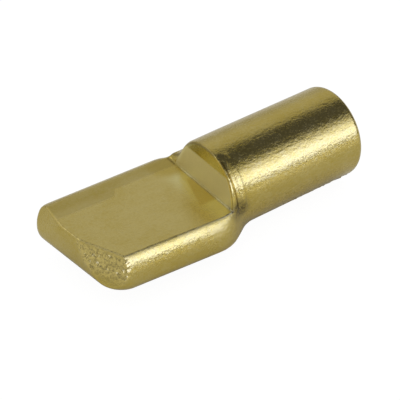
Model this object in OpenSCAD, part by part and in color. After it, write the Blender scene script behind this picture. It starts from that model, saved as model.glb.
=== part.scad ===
// Shelf support pin of solid brass: a round shank that is pushed into a drilled
// hole, with its other end pressed out into a flat-topped paddle for the shelf.
// The shank lies along +X and the shelf flat faces +Z. The origin is on the
// shank's axis where its full round begins, at the mouth of the hole it fits.

/* [Shank] */
// Diameter of the round shank, which suits a quarter inch hole
shank_d = 6.35; // [5:0.05:8]
// Length of the full round, from the mouth of its hole to the free end
shank_len = 8.7; // [6:0.1:14]
// Radius of the rounded rim at the free end
rim_r = 0.45; // [0.2:0.05:1.2]

/* [Shoulder] */
// How far the top of the shoulder stands out from the mouth of the hole
shoulder_gap = 2; // [1.6:0.1:3]
// Height of the flat above the shank's axis, at the foot of the shoulder
flat_z = 0.25; // [-0.4:0.05:0.8]
// Height of the upper strip of the shoulder, below the top of the shank
strip_h = 1.05; // [0.4:0.05:1.6]
// Lean of the upper strip from upright, in degrees
strip_lean = 3; // [1:0.5:20]
// Lean of the wall below that strip from upright, in degrees
wall_lean = 7.5; // [1:0.5:20]
// Radius of the fillet where the wall meets the flat
foot_r = 0.2; // [0.1:0.05:0.5]

/* [Paddle] */
// Length of the paddle from the shoulder to its tip, along its middle
paddle_len = 10.25; // [8:0.05:16]
// Full width of the paddle, if its sides ran on to the shoulder
paddle_w = 9.05; // [8:0.05:11]
// Thickness of the paddle, from the flat to the underside
paddle_t = 2.45; // [2.1:0.05:2.9]
// Depth of the widest level of the rounded sides, below the flat
widest_depth = 1.75; // [1.2:0.05:1.85]
// How far the rounded side has turned where the flat cuts it, in degrees
edge_turn = 58; // [45:1:75]
// Taper of each side towards the tip, in degrees
side_taper = 1.4; // [0:0.1:3]
// Rise of the flat towards the tip, in degrees
pitch = 3.4; // [0:0.1:5]
// Sideways offset of the paddle from the shank's axis
paddle_shift = 0.45; // [0:0.05:0.5]
// Inset of the flat's long edges from the widest level
flat_inset = 0.7; // [0.4:0.05:0.85]
// Inset of the flat's end from the tip
flat_end_inset = 0.2; // [0.1:0.05:0.6]
// Inset of the underside's long edges from the widest level
under_inset = 0.5; // [0.3:0.05:0.7]
// Inset of the underside's end from the tip
under_end_inset = 0.5; // [0.3:0.05:0.8]

/* [Neck] */
// Clear length of round between the mouth of the hole and the near widening
near_gap = 0.45; // [0.1:0.05:0.6]
// Clear length of round between the mouth of the hole and the far widening
far_gap = 0.15; // [0.05:0.05:0.6]
// Angle of the near widening in plan, from the shank's axis, in degrees
near_flare = 34; // [24:1:40]
// Angle of the far widening in plan, from the shank's axis, in degrees
far_flare = 48; // [42:1:55]
// Share of the sides' inset that is left where the widening starts
neck_share = 0.5; // [0.3:0.05:0.7]
// Radius in plan of the corner between the near widening and the side
near_flare_r = 3; // [1:0.1:5]
// Radius in plan of the corner between the far widening and the side
far_flare_r = 1.5; // [0.5:0.1:3]
// Distance from the shoulder at which the round underside starts to rise
runout_gap = 0.3; // [0:0.1:1.5]
// Slope of that rise up to the underside of the paddle, in degrees
runout_slope = 16; // [12:1:24]
// Draft of the bar behind the mouth of the hole, on its radius
stub_draft = 0.06; // [0.02:0.01:0.15]

/* [Tip] */
// Turn of the tip's end from square, in degrees
end_turn = 6; // [0:0.5:10]
// Radius in plan of the tip's near corner
near_corner_r = 1.8; // [1.1:0.1:2.4]
// Radius in plan of the tip's far corner
far_corner_r = 1.3; // [1.1:0.1:2.4]
// Where the crop of the near corner meets the flat's end, off the middle
near_crop_start = 0.8; // [0:0.1:2]
// Turn in plan of the cropped near corner, in degrees
near_crop_turn = 27; // [15:1:40]
// Lean of the near crop from upright, in degrees
near_crop_lean = 22; // [10:1:40]
// Where the crop of the far corner meets the flat's end, off the middle
far_crop_start = 1; // [0:0.1:2]
// Turn in plan of the cropped far corner, in degrees
far_crop_turn = 10; // [4:1:25]
// Lean of the far crop from upright, in degrees
far_crop_lean = 26; // [10:1:40]

/* [Fineness] */
// Steps along each rounded corner of the paddle's outline
corner_steps = 6; // [4:1:10]
// Levels in each half of the rounded sides
side_levels = 6; // [4:1:10]

/* [Hidden] */
$fn = 96;

shank_r = shank_d / 2;
// where the upper strip ends and the wall begins
strip_foot = [-shoulder_gap - strip_h * tan(strip_lean), shank_r - strip_h];
// foot of the wall, where the flat begins
foot = [strip_foot[0] - (strip_foot[1] - flat_z) * tan(wall_lean), flat_z];
rise = tan(pitch);
tip_x = -shoulder_gap - paddle_len;
// each widening starts where the paddle's lower edge leaves the round, short of the
// mouth of the hole: half the round's width there gives the place of each neck
under_z = flat_z - paddle_t + foot[0] * rise;
under_half = sqrt(max(0, shank_r * shank_r - under_z * under_z));
neck_in = shank_r - under_inset * neck_share - under_half;
near_neck_x = -near_gap - (neck_in - paddle_shift) / tan(near_flare);
far_neck_x = -far_gap - (neck_in + paddle_shift) / tan(far_flare);
// the stub ends inside the paddle, above the paddle's underside
runout_x = -shoulder_gap - runout_gap;
stub_drop = flat_z - paddle_t + shank_r;
stub_len = -runout_x + stub_drop / (tan(runout_slope) - rise) + shank_r / 4;
// how far cutting shapes run past what they cut
over = 2;
// turn of the rounded sides at which the paddle ends, above the flat that is cut on it
top_turn = edge_turn + 8;
// how far inside the round shank the paddle's widening starts, in shank radii
root_depth = 0.35;

function unit(v) = v / norm(v);

// Crossing point of the line through p along u with the line through q along v.
function crossing(p, u, q, v) =
    let (d = u[0] * v[1] - u[1] * v[0], w = q - p)
    p + u * ((w[0] * v[1] - w[1] * v[0]) / d);

// Points of a rounded corner at q between its neighbours p and s.
// The radius is limited so that the round takes under half of either side.
function corner(p, q, s, r) =
    let (
        a = unit(p - q),
        b = unit(s - q),
        half = acos(max(-1, min(1, a * b))) / 2,
        run = min(r / tan(half), 0.45 * norm(p - q), 0.45 * norm(s - q)),
        rr = run * tan(half),
        mid = q + unit(a + b) * (rr / sin(half)),
        from = q + a * run - mid,
        to = q + b * run - mid,
        start = atan2(from[1], from[0]),
        turn = atan2(from[0] * to[1] - from[1] * to[0], from * to)
    )
    [for (i = [0:corner_steps])
        mid + rr * [cos(start + turn * i / corner_steps), sin(start + turn * i / corner_steps)]];

// Start of one widening inside the shank, and its end on the paddle's side, in the
// plan of the near side.
function widening(neck_x, angle, side_in) =
    let (
        along = [-cos(angle), -sin(angle)],
        neck = [neck_x, side_in * neck_share - shank_r],
        side = [-cos(side_taper), sin(side_taper)]
    )
    [neck - along * (root_depth * shank_r / sin(angle)),
     crossing(neck, along, [-shoulder_gap, side_in - paddle_w / 2], side)];

// Plan outline of the paddle with its sides inset by side_in and its tip by
// end_in, from the near side of its root in the shank, round the tip, to the
// far side of its root.
function outline(side_in, end_in) =
    let (
        half_w = paddle_w / 2 - side_in,
        near = widening(near_neck_x, near_flare, side_in),
        far = [for (p = widening(far_neck_x, far_flare, side_in)) [p[0], -p[1]]],
        end = [tip_x + end_in, 0],
        across_end = [sin(end_turn), -cos(end_turn)],
        near_end = crossing(end, across_end, [-shoulder_gap, -half_w], [-cos(side_taper), sin(side_taper)]),
        far_end = crossing(end, across_end, [-shoulder_gap, half_w], [-cos(side_taper), -sin(side_taper)]),
        tip_in = (side_in + end_in) / 2,
        pts = [near[0], near[1], near_end, far_end, far[1], far[0]],
        radii = [0, near_flare_r, near_corner_r - tip_in, far_corner_r - tip_in, far_flare_r, 0]
    )
    concat([pts[0]],
           [for (i = [1:4]) each corner(pts[i - 1], pts[i], pts[i + 1], radii[i])],
           [pts[5]]);

// Ring of the paddle's skin at the turn a of its rounded sides, from -90 at the
// underside through 0 at the widest level to top_turn just above the flat.
function ring(a) =
    let (
        w = a > 0 ? (1 - cos(a)) / (1 - cos(edge_turn)) : 1 - cos(a),
        side_in = w * (a > 0 ? flat_inset : under_inset),
        end_in = w * (a > 0 ? flat_end_inset : under_end_inset),
        up = a > 0 ? widest_depth * sin(a) / sin(edge_turn) : (paddle_t - widest_depth) * sin(a)
    )
    [for (p = outline(side_in, end_in))
        [p[0], p[1] + paddle_shift, flat_z - widest_depth + up + (foot[0] - p[0]) * rise]];

// The pressed paddle, closed at its root inside the shank.
module paddle() {
    turns = [for (i = [-side_levels:side_levels]) (i < 0 ? 90 : top_turn) * i / side_levels];
    rings = [for (a = turns) ring(a)];
    n = len(rings[0]);
    m = len(rings);
    skin = [for (j = [0:m - 2], i = [0:n - 1]) let (k = (i + 1) % n)
        each [[j * n + i, (j + 1) * n + k, (j + 1) * n + i], [j * n + i, j * n + k, (j + 1) * n + k]]];
    under = [for (i = [n - 1:-1:0]) i];
    upper = [for (i = [0:n - 1]) (m - 1) * n + i];
    polyhedron(points = [for (r = rings) each r], faces = concat(skin, [under, upper]));
}

// The round bar, from the stub under the paddle to the rounded free end.
module bar() {
    rotate([0, 90, 0])
        rotate_extrude() {
            polygon([[0, -stub_len], [shank_r - stub_draft, -stub_len], [shank_r, 0], [0, 0]]);
            square([shank_r, shank_len - rim_r]);
            square([shank_r - rim_r, shank_len]);
            translate([shank_r - rim_r, shank_len - rim_r])
                circle(r = rim_r);
        }
}

// Side view of what the upper punch takes away: everything above the flat and
// in front of the shoulder, with the fillet at its foot.
module punch_profile() {
    up_strip = [tan(strip_lean), 1];
    up_wall = unit(strip_foot - foot);
    along = [-cos(pitch), sin(pitch)];
    half = acos(up_wall * along) / 2;
    run = foot_r / tan(half);
    far_x = tip_x - over;
    top_z = shank_r + over;
    polygon([
        strip_foot + up_strip * (strip_h + over),
        strip_foot,
        foot + up_wall * run,
        foot + along * run,
        [far_x, flat_z + (foot[0] - far_x) * rise],
        [far_x, top_z]
    ]);
    translate(foot + unit(up_wall + along) * (foot_r / sin(half)))
        circle(r = foot_r, $fn = 48);
}

// Side view of what the lower die takes off the round stub.
module runout_profile() {
    reach = stub_len + over;
    polygon([
        [-reach, -shank_r + (reach + runout_x) * tan(runout_slope)],
        [-reach, -shank_r - over],
        [runout_x + over, -shank_r - over],
        [runout_x + over, -shank_r - over * tan(runout_slope)]
    ]);
}

// What the crop of one corner takes away: all beyond a leaning plane that meets
// the flat's end at the given place off the middle.
module crop(start, turn, lean) {
    end_x = tip_x + flat_end_inset - start * tan(end_turn);
    block = paddle_w + over;
    translate([end_x, paddle_shift + start, flat_z + (foot[0] - end_x) * rise])
        rotate([0, 0, turn])
            rotate([0, lean, 0])
                translate([-block, -block / 2, -block / 2])
                    cube(block);
}

// Turns a side view upright and gives it a width across the paddle.
module across(width) {
    rotate([90, 0, 0])
        linear_extrude(height = width, center = true)
            children();
}

module shelf_pin() {
    color([0.72, 0.63, 0.36])
    difference() {
        union() {
            difference() {
                bar();
                across(shank_d + over) runout_profile();
            }
            paddle();
        }
        across(paddle_w + 2 * over) punch_profile();
        crop(-near_crop_start, near_crop_turn, near_crop_lean);
        crop(far_crop_start, -far_crop_turn, far_crop_lean);
    }
}

shelf_pin();
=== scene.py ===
# Shelf support pin of solid brass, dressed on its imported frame.
import math

import bpy
import numpy as np
from mathutils import Matrix, Vector


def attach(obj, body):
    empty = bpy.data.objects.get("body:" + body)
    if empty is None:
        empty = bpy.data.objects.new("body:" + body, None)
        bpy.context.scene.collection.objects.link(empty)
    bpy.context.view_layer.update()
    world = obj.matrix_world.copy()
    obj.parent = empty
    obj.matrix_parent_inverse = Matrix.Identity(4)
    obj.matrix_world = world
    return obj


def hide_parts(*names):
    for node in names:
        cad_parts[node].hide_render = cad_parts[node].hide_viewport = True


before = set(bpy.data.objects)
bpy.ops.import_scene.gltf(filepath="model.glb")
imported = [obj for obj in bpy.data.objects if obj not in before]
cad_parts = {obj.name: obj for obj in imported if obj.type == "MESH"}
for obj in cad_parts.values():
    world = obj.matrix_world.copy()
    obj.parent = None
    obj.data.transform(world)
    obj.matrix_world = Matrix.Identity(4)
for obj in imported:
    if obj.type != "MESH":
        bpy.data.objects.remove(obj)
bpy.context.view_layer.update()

# ---------------------------------------------------------------------------
# The camera stands over the near side of the paddle's tip and looks along the
# pin to its free end, with a long lens.
camera_data = bpy.data.cameras.new("camera")
camera_data.sensor_width = 36.0
camera_data.lens = 136.5
camera_data.clip_start = 0.005
camera_data.clip_end = 10.0
camera = bpy.data.objects.new("camera", camera_data)
bpy.context.collection.objects.link(camera)
bpy.context.scene.camera = camera

azimuth = math.radians(-36.5)
elevation = math.radians(39.075)
camera_distance = 0.0981
aim = Vector((-0.002624, -0.000133, -0.000662))
camera_right = Vector((math.cos(azimuth), math.sin(azimuth), 0.0))
camera_look = Vector((-math.sin(azimuth) * math.cos(elevation),
                      math.cos(azimuth) * math.cos(elevation), -math.sin(elevation)))
camera_up = camera_right.cross(camera_look)
camera.matrix_world = (Matrix.Translation(aim - camera_look * camera_distance)
                       @ Matrix((camera_right, camera_up, -camera_look)).transposed().to_4x4())

# ---------------------------------------------------------------------------
# The pin is one length of round brass bar. Its end was pressed between dies
# into a flat-topped paddle, which left the steep shoulder, the rounded sides
# that bulge past the bar, and a lip along the edge of the round.

# The round bar. Sizes are in millimetres.
bar_radius = 3.175
bar_end = 8.7
bar_rim = 0.45
bar_draft = 0.009
shoulder_at = -2.0

# The upper punch cut the flat, the fillet at its foot, the wall and the strip
# above the wall.
flat_height = 0.25
flat_rise = math.tan(math.radians(3.4))
foot_fillet = 0.07
wall_lean = math.radians(7.5)
strip_lean = math.radians(3)
strip_drop = 1.05

# The lip's ends are in degrees round the bar, from the top to the near side,
# and the furrow and the bank behind it are that many lip widths away.
lip_rise, lip_width = 0.12, 0.22
lip_start, lip_start_fade = 16, 10
lip_end, lip_end_fade = 100, 15
ridge_share, bank_share = 0.5, 0.6
furrow_back, bank_back = 1.4, 3

# The paddle, its widest level below the flat, and how far the flat and the
# underside are drawn in from that level at the sides and at the end.
paddle_reach = 10.25
paddle_width = 9.05
paddle_depth = 2.45
paddle_shift = 0.45
widest_below = 1.75
edge_turn = math.radians(58)
side_taper = math.radians(1.4)
end_turn = math.radians(6)
flat_inset, flat_end_inset = 0.7, 0.2
under_inset, under_end_inset = 0.5, 0.5

# The neck flares out to the sides at another angle on each side. The tip has
# rounded corners, and each crop of it is a place across it, a turn and a lean.
near_flare, far_flare = math.radians(34), math.radians(48)
near_gap, far_gap = 0.45, 0.15
neck_share = 0.5
flare_corner = 3.0
near_corner, far_corner = 1.8, 1.3
crops = [(-0.8, math.radians(27), math.radians(22)), (1.0, math.radians(-10), math.radians(26))]

# The lower die, and the end of the round bar inside the paddle.
runout_slope = math.radians(16)
runout_back, die_reach = 0.3, 1
stub_reach = 7.5

# Edges are worn round by these radii, and by more from the middle to the far side.
die_ease, crop_ease = 0.4, 0.05
neck_ease, neck_far_ease = 0.25, 0.9
punch_ease, punch_far_ease = 0.04, 0.7
far_from, far_over = 1.2, 1.8

strip_foot = (shoulder_at - strip_drop * math.tan(strip_lean), bar_radius - strip_drop)
foot_x = strip_foot[0] - (strip_foot[1] - flat_height) * math.tan(wall_lean)
tip_at = shoulder_at - paddle_reach
under_height = flat_height - paddle_depth + foot_x * flat_rise
under_half = math.sqrt(bar_radius ** 2 - under_height ** 2)
neck = bar_radius - under_inset * neck_share - under_half
near_neck = -near_gap - (neck - paddle_shift) / math.tan(near_flare)
far_neck = -far_gap - (neck + paddle_shift) / math.tan(far_flare)


def rounded_pair(a, b, cosine, radius):
    """Two flat sides that meet at a corner, rounded to the radius."""
    p, q = a + radius, b + radius
    on_round = (p > cosine * q) & (q > cosine * p)
    reach = np.sqrt(np.maximum(p * p + q * q - 2 * cosine * p * q, 0) / (1 - cosine ** 2))
    return np.where(on_round, reach - radius, np.maximum(a, b))


def lip(x, y, z):
    """The burr that the punch threw up along the near half of its cut, and the furrow behind it."""
    round_turn = np.degrees(np.arctan2(-y, z))
    near_half = (np.clip((round_turn - lip_start) / lip_start_fade, 0, 1)
                 * np.clip((lip_end - round_turn) / lip_end_fade, 0, 1))
    ridge = ridge_share * np.exp(-((x - shoulder_at) / lip_width) ** 2)
    furrow = np.exp(-((x - shoulder_at - furrow_back * lip_width) / lip_width) ** 2)
    bank = bank_share * np.exp(-((x - shoulder_at - bank_back * lip_width) / lip_width) ** 2)
    return lip_rise * near_half * (ridge - furrow + bank)


def round_bar(x, y, z):
    """The bar with its rounded rim, and a slight draft under the paddle."""
    radius = bar_radius + np.minimum(x, 0) * bar_draft + lip(x, y, z)
    out = np.sqrt(y * y + z * z) - radius
    return rounded_pair(out, x - bar_end, cosine=0.0, radius=bar_rim)


def paddle_outline(x, y, side_in, end_in):
    """How far a point is outside the paddle's outline, seen from above."""
    y = y - paddle_shift
    half = paddle_width / 2 - side_in
    run = (x - shoulder_at) * math.sin(side_taper)
    sides = [-y * math.cos(side_taper) - half * math.cos(side_taper) - run,
             y * math.cos(side_taper) - half * math.cos(side_taper) - run]
    neck = bar_radius - side_in * neck_share
    flares = [(x - near_neck) * math.sin(near_flare) + (-y - neck) * math.cos(near_flare),
              (x - far_neck) * math.sin(far_flare) + (y - neck) * math.cos(far_flare)]
    end = (tip_at + end_in - x) * math.cos(end_turn) - y * math.sin(end_turn)
    out = rounded_pair(flares[0], sides[0], math.cos(near_flare + side_taper), flare_corner)
    far = rounded_pair(flares[1], sides[1], math.cos(far_flare + side_taper), flare_corner / 2)
    out = np.maximum(out, far)
    tip_in = (side_in + end_in) / 2
    near_tip = rounded_pair(sides[0], end, math.sin(end_turn + side_taper), near_corner - tip_in)
    far_tip = rounded_pair(end, sides[1], math.sin(side_taper - end_turn), far_corner - tip_in)
    return np.maximum(out, np.maximum(near_tip, far_tip))


def pressed_paddle(x, y, z):
    """The pressed end: rounded sides, widest well below the flat."""
    height = z - (flat_height - widest_below + (foot_x - x) * flat_rise)
    widest = paddle_outline(x, y, 0.0, 0.0)
    top = paddle_outline(x, y, flat_inset, flat_end_inset)
    under = paddle_outline(x, y, under_inset, under_end_inset)
    turn = 1 - math.cos(edge_turn)
    up = height / widest_below * math.sin(edge_turn)
    down = height / (paddle_depth - widest_below)
    hair = 1e-3
    in_top = 1 + widest / np.maximum(top - widest, hair) * turn
    in_under = 1 + widest / np.maximum(under - widest, hair)
    across = np.where(height > 0, in_top, in_under)
    return np.sqrt(np.maximum(across, 0) ** 2 + np.where(height > 0, up, down) ** 2) - 1


def upper_punch(x, y, z):
    """Inside the punch is above the flat and in front of the shoulder."""
    rise = math.atan(flat_rise)
    above = (z - flat_height - (foot_x - x) * flat_rise) * math.cos(rise)
    wall = (x - foot_x) * math.cos(wall_lean) - (z - flat_height) * math.sin(wall_lean)
    strip = (x - strip_foot[0]) * math.cos(strip_lean) - (z - strip_foot[1]) * math.sin(strip_lean)
    front = np.maximum(wall, strip)
    return rounded_pair(-above, front, math.cos(math.pi / 2 + wall_lean - rise), foot_fillet)


def lower_die(x, y, z):
    """The die that lifted the bar's round underside up to the paddle."""
    lifted = (x - shoulder_at + runout_back) * math.tan(runout_slope)
    return (z + bar_radius + lifted) * math.cos(runout_slope)


def beyond_crop(x, y, z, start, turn, lean):
    """How far a point is outside the leaning plane that crops a corner of the tip."""
    end = tip_at + flat_end_inset - start * math.tan(end_turn)
    top = flat_height + (foot_x - end) * flat_rise
    side = -(x - end) * math.cos(turn) - (y - paddle_shift - start) * math.sin(turn)
    return side * math.cos(lean) + (z - top) * math.sin(lean)


def tip_crop(x, y, z):
    """Both crops of the tip."""
    return np.maximum(beyond_crop(x, y, z, *crops[0]), beyond_crop(x, y, z, *crops[1]))


def metric(shape, x, y, z, step=0.02, least_slope=0.2):
    """A shape's value turned into millimetres with its own slope."""
    slope = np.sqrt((shape(x + step, y, z) - shape(x - step, y, z)) ** 2
                    + (shape(x, y + step, z) - shape(x, y - step, z)) ** 2
                    + (shape(x, y, z + step) - shape(x, y, z - step)) ** 2) / (2 * step)
    return shape(x, y, z) / np.maximum(slope, least_slope)


def eased_max(a, b, radius):
    """A cut whose edge is worn round to the radius."""
    h = np.maximum(radius - np.abs(a - b), 0) / radius
    return np.maximum(a, b) + h * h * radius / 4


def pin_surface(x, y, z):
    """How far a point is outside the pressed pin, or inside it where this is below 0."""
    uncut = -9.0
    die_cut = np.where(x < shoulder_at + die_reach, -lower_die(x, y, z), uncut)
    stub = eased_max(round_bar(x, y, z), die_cut, die_ease)
    stub = np.maximum(stub, -x - stub_reach)
    paddle = metric(pressed_paddle, x, y, z)
    far_side = np.clip((y - far_from) / far_over, 0, 1)
    body = -eased_max(-stub, -paddle, neck_ease + neck_far_ease * far_side)
    body = eased_max(body, -upper_punch(x, y, z), punch_ease + punch_far_ease * far_side)
    return eased_max(body, tip_crop(x, y, z), crop_ease)


# The surface is found on a fine grid that stands a little clear of the pin on
# every side, and is worked out in slabs to save memory.
spacing = 0.09
slab = 24
low = np.array([tip_at - 0.9, -4.5, -3.5])
high = np.array([bar_end + 0.3, 5.4, 3.5])
count = np.ceil((high - low) / spacing).astype(int) + 1
axes = [low[i] + spacing * np.arange(count[i]) for i in range(3)]
level = np.empty(count, np.float32)
for i in range(0, count[0], slab):
    block = np.meshgrid(axes[0][i:i + slab], axes[1], axes[2], indexing="ij")
    level[i:i + slab] = pin_surface(*block)

# Each cell that the surface passes through holds one point of the mesh.
inside = level < 0
corners = [inside[i:count[0] - 1 + i, j:count[1] - 1 + j, k:count[2] - 1 + k]
           for i in (0, 1) for j in (0, 1) for k in (0, 1)]
cell_mixed = ~(np.all(corners, axis=0) | ~np.any(corners, axis=0))
cell_index = np.full(cell_mixed.shape, -1, np.int64)
cells = np.argwhere(cell_mixed)
cell_index[tuple(cells.T)] = np.arange(len(cells))
points = low + spacing * (cells + 0.5)

# Each edge of the grid that the surface crosses gives a face to the four
# cells round it, turned so that it faces outwards.
quads = []
for axis in range(3):
    u, v = (axis + 1) % 3, (axis + 2) % 3
    lower = [slice(1, -1)] * 3
    upper = [slice(1, -1)] * 3
    lower[axis], upper[axis] = slice(0, -1), slice(1, None)
    crossing = inside[tuple(lower)] != inside[tuple(upper)]
    edges = np.argwhere(crossing)
    start = edges + 1
    start[:, axis] -= 1
    outward = inside[tuple(start.T)]
    around = []
    for du, dv in ((0, 0), (1, 0), (1, 1), (0, 1)):
        cell = start.copy()
        cell[:, u] -= du
        cell[:, v] -= dv
        around.append(cell_index[tuple(cell.T)])
    quad = np.stack(around, axis=1)
    quads.append(np.where(outward[:, None], quad, quad[:, ::-1]))
quads = np.concatenate(quads)


def slope_at(p, step=0.01):
    """The slope of the pin's surface at each point, along x, y and z."""
    x, y, z = p.T
    return np.stack([pin_surface(x + step, y, z) - pin_surface(x - step, y, z),
                     pin_surface(x, y + step, z) - pin_surface(x, y - step, z),
                     pin_surface(x, y, z + step) - pin_surface(x, y, z - step)], axis=1) / (2 * step)


def draw_on(p, rounds, least=0.05):
    """Points drawn onto the pin's surface, by one cell at most in each round."""
    for _ in range(rounds):
        g = slope_at(p)
        move = pin_surface(*p.T)[:, None] * g / np.maximum((g * g).sum(1), least)[:, None]
        p = p - np.clip(move, -spacing, spacing)
    return p


# The points are drawn onto the surface, and spread evenly over it by moving
# each one part of the way to the middle of its neighbours.
first_rounds, spread_rounds, last_rounds = 3, 6, 2
spread_share = 0.6
links = np.concatenate([quads[:, [0, 1]], quads[:, [1, 2]], quads[:, [2, 3]], quads[:, [3, 0]]])
links = np.unique(np.sort(links, axis=1), axis=0)
valence = np.bincount(links.ravel(), minlength=len(points))[:, None]
points = draw_on(points, first_rounds)
for _ in range(spread_rounds):
    total = np.stack([np.bincount(links[:, 0], points[links[:, 1], k], len(points))
                      + np.bincount(links[:, 1], points[links[:, 0], k], len(points))
                      for k in range(3)], axis=1)
    points = draw_on(points + spread_share * (total / valence - points), 1)
points = draw_on(points, last_rounds)

millimetre = 0.001
pin_mesh = bpy.data.meshes.new("brass_pin")
pin_mesh.from_pydata((points * millimetre).tolist(), [], quads.tolist())
pin_mesh.polygons.foreach_set("use_smooth", np.ones(len(quads), bool))
pin_mesh.update()
pin = bpy.data.objects.new("brass_pin", pin_mesh)
bpy.context.collection.objects.link(pin)


class Tone:
    """A socket of a material's node tree, on which sums are written."""

    def __init__(self, tree, socket):
        self.tree, self.socket = tree, socket

    def sum(self, operation, first, second):
        """A Math node on two values."""
        return node(self.tree, "Math", {"operation": operation}, {0: first, 1: second})

    def __add__(self, other):
        return self.sum("ADD", self, other)

    def __radd__(self, other):
        return self.sum("ADD", other, self)

    def __sub__(self, other):
        return self.sum("SUBTRACT", self, other)

    def __rsub__(self, other):
        return self.sum("SUBTRACT", other, self)

    def __mul__(self, other):
        return self.sum("MULTIPLY", self, other)

    def __rmul__(self, other):
        return self.sum("MULTIPLY", other, self)

    def __pow__(self, other):
        return self.sum("POWER", self, other)

    def past(self, low, high):
        """0 below low, 1 above high, and a soft step between."""
        return node(self.tree, "MapRange", {"interpolation_type": "SMOOTHSTEP"},
                    {"Value": self, "From Min": low, "From Max": high})

    def between(self, low, start, end, high):
        """1 from start to end, and a soft step down to 0 at low and at high."""
        return self.past(low, start) * (1 - self.past(end, high))


def node(tree, kind, settings, sockets, output=0):
    """A node of a material, its settings made first and then its sockets."""
    made = tree.nodes.new("ShaderNode" + kind)
    for name, value in settings.items():
        setattr(made, name, value)
    for name, value in sockets.items():
        if isinstance(value, Tone):
            tree.links.new(value.socket, made.inputs[name])
        else:
            made.inputs[name].default_value = value
    return Tone(tree, made.outputs[output])


def stretched(tree, place, scale, detail, roughness, size):
    """Noise on the brass, stretched by the scale of each axis in millimetres."""
    where = node(tree, "VectorMath", {"operation": "MULTIPLY"}, {0: place, 1: scale})
    return node(tree, "TexNoise", {"noise_dimensions": "3D"},
                {"Vector": where, "Scale": size, "Detail": detail, "Roughness": roughness})


brass = bpy.data.materials.new("brass")
brass.use_nodes = True
nodes = brass.node_tree
metal = nodes.nodes["Principled BSDF"]
place = node(nodes, "TexCoord", {}, {}, 3)
place = node(nodes, "VectorMath", {"operation": "SCALE"}, {0: place, "Scale": 1 / millimetre})
along, across, height = [node(nodes, "SeparateXYZ", {}, {0: place}, i) for i in range(3)]

# Noise runs from 0 to 1 about its middle.
middle = 0.5
cloud = stretched(nodes, place, (1, 1, 1), detail=3, roughness=0.55, size=0.35)
mottle = stretched(nodes, place, (0.6, 1, 1), detail=4, roughness=0.6, size=2.2)
brushed = stretched(nodes, place, (0.5, 1, 1), detail=2, roughness=0.5, size=5.0)
grain = stretched(nodes, place, (1, 1, 1), detail=3, roughness=0.7, size=6.5)

# The zones that the punch left: the flat, and on the wall behind it the torn
# metal at the foot and the smooth strip above. All places are in millimetres.
above_flat = height - (flat_height + foot_x * flat_rise) + along * flat_rise
from_axis = (across * across + height * height) ** 0.5
before_wall = 1 - along.past(foot_x - 0.06, foot_x + 0.02)
on_flat = above_flat.past(-0.06, -0.02) * before_wall
on_wall = (1 - before_wall) * (1 - along.past(shoulder_at - 0.02, shoulder_at + 0.04))
on_wall = on_wall * above_flat.past(0.02, 0.08) * (1 - from_axis.past(2.98, 3.08))
on_tear = on_wall * (1 - height.past(strip_foot[1] - 0.1, strip_foot[1] + 0.1))
on_strip = on_wall - on_tear

# Lines along the cut in the round, along the flat's edge and in the crease at
# the foot of the wall.
cut_edge = along.between(shoulder_at - 0.14, shoulder_at - 0.05, shoulder_at + 0.03, shoulder_at + 0.09)
cut_edge = cut_edge * from_axis.past(2.95, 3.05) * across.past(-1.2, -0.4)
flat_edge = above_flat.between(-0.16, -0.08, -0.01, -0.002) * before_wall
crease = along.between(foot_x - 0.2, foot_x - 0.1, foot_x + 0.03, foot_x + 0.09)
crease = crease * above_flat.between(-0.1, -0.04, 0.05, 0.12)


def spot(centre, full, gone):
    """A round spot on the brass, full near its centre and gone further out."""
    away = node(nodes, "VectorMath", {"operation": "DISTANCE"}, {0: place, 1: centre}, 1)
    return 1 - away.past(full, gone)


# Marks: the scuffed near side, a dark spot at the near corner of the wall, a darker
# brown patch at the far side of the flat, and a painted reflection of the wall that
# lightens the flat before it, except in a lozenge next to the wall.
side_wear = along.past(-7.0, -2.2) * (1 - across.past(-3.4, -2.8)) * (1 - above_flat.past(-0.3, 0.1))
# A dark spot at the near corner of the wall.
near_dark_spot = spot((-1.75, -3.3, 0.15), 0.15, 1.1)
# A darker brown patch at the far side of the flat, by the wall.
far_brown_patch = spot((-3.0, 3.0, 0.3), 0.6, 1.6)
lozenge_lean = 0.35
lozenge = (along - across * lozenge_lean).past(-3.21, -3.09) * across.between(-1.7, -1.4, 0.9, 1.4)
# A painted reflection of the wall lightens the flat before it, but not the lozenge next to the wall or the
# far patch.
wall_reflection_share = on_flat * along.past(-4.3, -2.9) * (1 - lozenge * 0.9) * (1 - far_brown_patch)
torn = node(nodes, "Attribute", {"attribute_name": "torn"}, {}, 2)


def washed(under, wash, share):
    """One colour washed over another by a share that changes over the brass."""
    return node(nodes, "Mix", {"data_type": "RGBA"}, {0: share, 6: under, 7: wash}, 2)


dull_brass = (0.49, 0.375, 0.085, 1)
bright_brass = (0.57, 0.465, 0.165, 1)
painted_wall_reflection = (0.71, 0.645, 0.30, 1)
painted_foot_reflection = (0.74, 0.65, 0.28, 1)
painted_strip_reflection = (0.36, 0.31, 0.08, 1)
torn_corner = (0.68, 0.55, 0.19, 1)
dark_specks_and_shade = (0.13, 0.10, 0.04, 1)
tint = (cloud - middle) * 1.3 + (mottle - middle) * 0.9 + (grain - middle) * 2.0
tint = tint + 0.3 + on_flat * 0.45 - far_brown_patch * 1.2
# Dark specks in the crease at the foot of the wall, which also paint shade into the crease, and a dark spot
# at the near corner of the wall.
specks_and_painted_shade = (crease * 0.35 + near_dark_spot * 1.1) * (0.7 + (grain - middle) * 3.0)
# Dark grain specks in the torn metal, and a painted dark line of shade along the cut in the round.
specks_and_painted_shade = specks_and_painted_shade + torn * grain.past(0.48, 0.6) * 0.5 + cut_edge * 0.55
colour = washed(dull_brass, bright_brass, tint)
# The flat before the wall lightened: a painted reflection of the wall.
colour = washed(colour, painted_wall_reflection, wall_reflection_share * 0.85)
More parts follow.
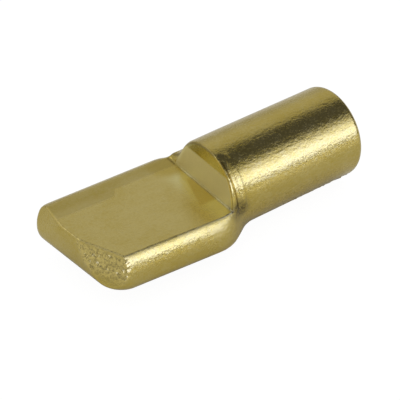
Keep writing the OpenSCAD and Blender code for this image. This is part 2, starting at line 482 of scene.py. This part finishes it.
# The foot of the wall lightened: a painted reflection.
colour = washed(colour, painted_foot_reflection, on_tear * 0.85)
# The strip above the wall darkened: a painted reflection.
colour = washed(colour, painted_strip_reflection, on_strip * 0.9)
colour = washed(colour, torn_corner, torn * 0.8)
# Dark specks, with painted shade in the crease and a painted dark line along the cut in the round.
colour = washed(colour, dark_specks_and_shade, specks_and_painted_shade)
nodes.links.new(colour.socket, metal.inputs["Base Color"])

metal.inputs["Metallic"].default_value = 1.0
gloss = 0.17 + (mottle - middle) * 0.14 + (grain - middle) * 0.18
gloss = gloss + on_tear * 0.45 + crease * 0.35 + side_wear * 0.2 + flat_edge * 0.3 + cut_edge * 0.3
nodes.links.new(gloss.socket, metal.inputs["Roughness"])

bump_strength, bump_height = 0.72, 0.00004
relief = (brushed - middle) * 0.5 + (grain - middle) * 0.65 - grain.past(0.58, 0.66) * 0.15
relief = relief + (mottle - middle) * (0.3 + side_wear * 1.2)
bump = node(nodes, "Bump", {}, {"Strength": bump_strength, "Distance": bump_height, "Height": relief})
nodes.links.new(bump.socket, metal.inputs["Normal"])
pin_mesh.materials.append(brass)

# The near corner of the tip was torn rather than cut, which left coarse grain
# along that crop and a little way round the end.
x, y, z = points.T
near_crop = np.abs(beyond_crop(x, y, z, *crops[0]))
far_crop = np.abs(beyond_crop(x, y, z, *crops[1]))
crop_skin, crop_corner = 0.12, 0.5
skin_end, corner_end = 1.6, 1.1
tear = np.clip(skin_end - near_crop / crop_skin, 0, 1)
tear = np.maximum(tear, np.clip(corner_end - near_crop / crop_corner, 0, 1)
                  * np.clip(skin_end - far_crop / crop_skin, 0, 1))

# It stays faint at the flat's edge, and fades out at two depths below the flat.
edge_fade, edge_least = 0.25, 0.1
low_at, low_fade = 1.35, 0.6
lowest_at, lowest_fade = 1.6, 0.4
tear *= np.clip((flat_height + (foot_x - x) * flat_rise - z) / edge_fade, edge_least, 1)
tear *= (np.clip((z - flat_height + low_at) / low_fade, 0, 1)
         * np.clip((z - flat_height + lowest_at) / lowest_fade, 0, 1))
pin_mesh.attributes.new("torn", "FLOAT", "POINT").data.foreach_set("value", tear.astype(np.float32))

grain_sizes = {"Grains per metre": 3600.0, "Grain depth": 0.00036, "Seed": 4.0}
grain_floor = 0.56
grain_tree = bpy.data.node_groups.new("torn_grain", "GeometryNodeTree")
grain_tree.interface.new_socket("Geometry", in_out="INPUT", socket_type="NodeSocketGeometry")
knob = {}
for name in grain_sizes:
    socket = grain_tree.interface.new_socket(name, in_out="INPUT", socket_type="NodeSocketFloat")
    knob[name] = socket.identifier
grain_tree.interface.new_socket("Geometry", in_out="OUTPUT", socket_type="NodeSocketGeometry")


def step(kind, settings, sockets):
    """A step of the grain's tree: its settings, then its values or links."""
    made = grain_tree.nodes.new(kind)
    for name, value in settings.items():
        setattr(made, name, value)
    for name, value in sockets.items():
        if isinstance(value, bpy.types.NodeSocket):
            grain_tree.links.new(value, made.inputs[name])
        else:
            made.inputs[name].default_value = value
    return made.outputs


given = step("NodeGroupInput", {}, {})
where = step("GeometryNodeInputPosition", {}, {})[0]
grains = step("ShaderNodeTexNoise", {"noise_dimensions": "4D"},
              {"Vector": where, "W": given["Seed"], "Scale": given["Grains per metre"], "Detail": 2.0})[0]
zone = step("GeometryNodeInputNamedAttribute", {"data_type": "FLOAT"}, {"Name": "torn"})["Attribute"]
rise = step("ShaderNodeMath", {"operation": "SUBTRACT"}, {0: grains, 1: grain_floor})[0]
rise = step("ShaderNodeMath", {"operation": "MULTIPLY"}, {0: rise, 1: given["Grain depth"]})[0]
rise = step("ShaderNodeMath", {"operation": "MULTIPLY"}, {0: rise, 1: zone})[0]
outward = step("GeometryNodeInputNormal", {}, {})[0]
move = step("ShaderNodeVectorMath", {"operation": "SCALE"}, {0: outward, "Scale": rise})[0]
torn_metal = step("GeometryNodeSetPosition", {}, {"Geometry": given["Geometry"], "Offset": move})[0]
torn_metal = step("GeometryNodeRealizeInstances", {}, {"Geometry": torn_metal})[0]
torn_metal = step("GeometryNodeSetMaterial", {}, {"Geometry": torn_metal, "Material": brass})[0]
step("NodeGroupOutput", {}, {"Geometry": torn_metal})

grain_maker = pin.modifiers.new("torn_grain", "NODES")
grain_maker.node_group = grain_tree
for name, size in grain_sizes.items():
    grain_maker[knob[name]] = size
worked = bpy.context.evaluated_depsgraph_get()
grained_mesh = bpy.data.meshes.new_from_object(pin.evaluated_get(worked), preserve_all_data_layers=True,
                                               depsgraph=worked)
pin.modifiers.clear()
pin.data = grained_mesh
grained_mesh.name = "brass_pin"

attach(pin, "root")
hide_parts("shelf_pin")

# ---------------------------------------------------------------------------
# A sheet of white paper under the pin, and the cards of a small studio round
# it: a grey wall behind, a black flag overhead and a soft box on the near side.
floor_at = -0.0032
floor_mesh = bpy.data.meshes.new("floor")
floor_mesh.from_pydata([(-1, -1, floor_at), (1, -1, floor_at), (1, 1, floor_at), (-1, 1, floor_at)], [],
                       [(0, 1, 2, 3)])
floor = bpy.data.objects.new("floor", floor_mesh)
bpy.context.collection.objects.link(floor)
paper = bpy.data.materials.new("white_paper")
paper.use_nodes = True
nodes = paper.node_tree
sheet = nodes.nodes["Principled BSDF"]
sheet.inputs["Base Color"].default_value = (0.68, 0.68, 0.68, 1)
sheet.inputs["Roughness"].default_value = 0.9
sheet.inputs["Specular IOR Level"].default_value = 0.0
glow_strength, glow_share = 1.08, 0.88
glow = node(nodes, "Emission", {}, {"Color": (1, 1, 1, 1), "Strength": glow_strength})
seen = node(nodes, "LightPath", {}, {}, 0)
mixed = node(nodes, "MixShader", {}, {0: seen * glow_share, 1: Tone(nodes, sheet.outputs[0]), 2: glow})
nodes.links.new(mixed.socket, nodes.nodes["Material Output"].inputs["Surface"])
floor_mesh.materials.append(paper)


def card(name, corners, tones):
    """A card of the studio with a tone at each corner, seen only in the metal."""
    last = len(corners) - 1
    folds = [(i, i + 1, last - i - 1, last - i) for i in range(len(corners) // 2 - 1)]
    mesh = bpy.data.meshes.new(name)
    mesh.from_pydata(corners, [], folds)
    glow = mesh.color_attributes.new("tone", "FLOAT_COLOR", "POINT")
    glow.data.foreach_set("color", np.array([tone + (1.0,) for tone in tones], np.float32).ravel())
    stand = bpy.data.objects.new(name, mesh)
    bpy.context.collection.objects.link(stand)
    light = bpy.data.materials.new(name)
    light.use_nodes = True
    tree = light.node_tree
    tree.nodes.remove(tree.nodes["Principled BSDF"])
    tone = node(tree, "Attribute", {"attribute_name": "tone"}, {})
    shine = node(tree, "Emission", {}, {"Color": tone, "Strength": 1.0})
    tree.links.new(shine.socket, tree.nodes["Material Output"].inputs["Surface"])
    mesh.materials.append(light)
    stand.visible_camera = False
    stand.visible_diffuse = False
    stand.visible_shadow = False


cool_green, cool_blue = 0.14, 1.3


def grey(tone, cool=0.0):
    """A tone of grey, turned cool for the daylight of the soft box."""
    return (tone, tone * (1 + cool_green * cool), tone * (1 + cool_blue * cool))


card_start, card_end = -0.3, 0.8


def long_card(name, edges):
    """A card along the pin: its edges are (y, z, tone, cool), folded from one to the next."""
    near = [(card_start, y, z) for y, z, _, _ in edges]
    far = [(card_end, y, z) for y, z, _, _ in reversed(edges)]
    tones = [grey(tone, cool) for _, _, tone, cool in edges]
    card(name, near + far, tones + tones[::-1])


def end_card(name, x, tone):
    """A card across the studio, from the table up to the flag."""
    near_side, far_side, top = -0.4, 0.3, 0.33
    card(name, [(x, near_side, floor_at), (x, far_side, floor_at), (x, far_side, top), (x, near_side, top)],
         [grey(tone)] * 4)


# Each edge of a long card is a place across the pin and a height, in metres,
# with the tone of the card there and how cool it is.
on_table = -0.0031
long_card("table_lit", [(-0.36, on_table, 1.8, 0), (-0.06, on_table, 1.15, 0), (-0.03, on_table, 0.84, 0),
                        (-0.012, on_table, 0.66, 0)])
long_card("grey_wall", [(0.30, floor_at, 0.46, 0), (0.30, 0.04, 0.52, 0), (0.28, 0.13, 0.66, 0),
                        (0.24, 0.20, 0.70, 0), (0.19, 0.26, 0.62, 0), (0.12, 0.33, 0.54, 0)])
long_card("black_flag", [(0.12, 0.33, 0.10, 0.5), (-0.165, 0.33, 0.115, 0.5)])
long_card("soft_box", [(-0.165, 0.33, 0.12, 0), (-0.20, 0.28, 0.55, 0.2), (-0.24, 0.215, 1.4, 0.5),
                       (-0.30, 0.135, 2.45, 1), (-0.36, 0.07, 2.8, 1)])
long_card("soft_box_edge", [(-0.36, 0.07, 0.02, 0), (-0.36, 0.013, 0.02, 0)])
long_card("table_edge", [(-0.36, 0.013, 2.0, 0), (-0.36, floor_at, 2.0, 0)])
end_card("side_grey", card_start, 0.52)
end_card("dark_end", 0.5, 0.12)
card("window", [(-0.20, 0.08, 0.07), (-0.08, 0.20, 0.07), (-0.05, 0.13, 0.19), (-0.14, 0.04, 0.19)],
     [grey(1.45, 0.2)] * 4)

world = bpy.data.worlds.new("studio")
bpy.context.scene.world = world
world.use_nodes = True
world.node_tree.nodes["Background"].inputs["Color"].default_value = (1, 1, 1, 1)
world.node_tree.nodes["Background"].inputs["Strength"].default_value = 1.0

bpy.context.scene.view_settings.view_transform = "Standard"
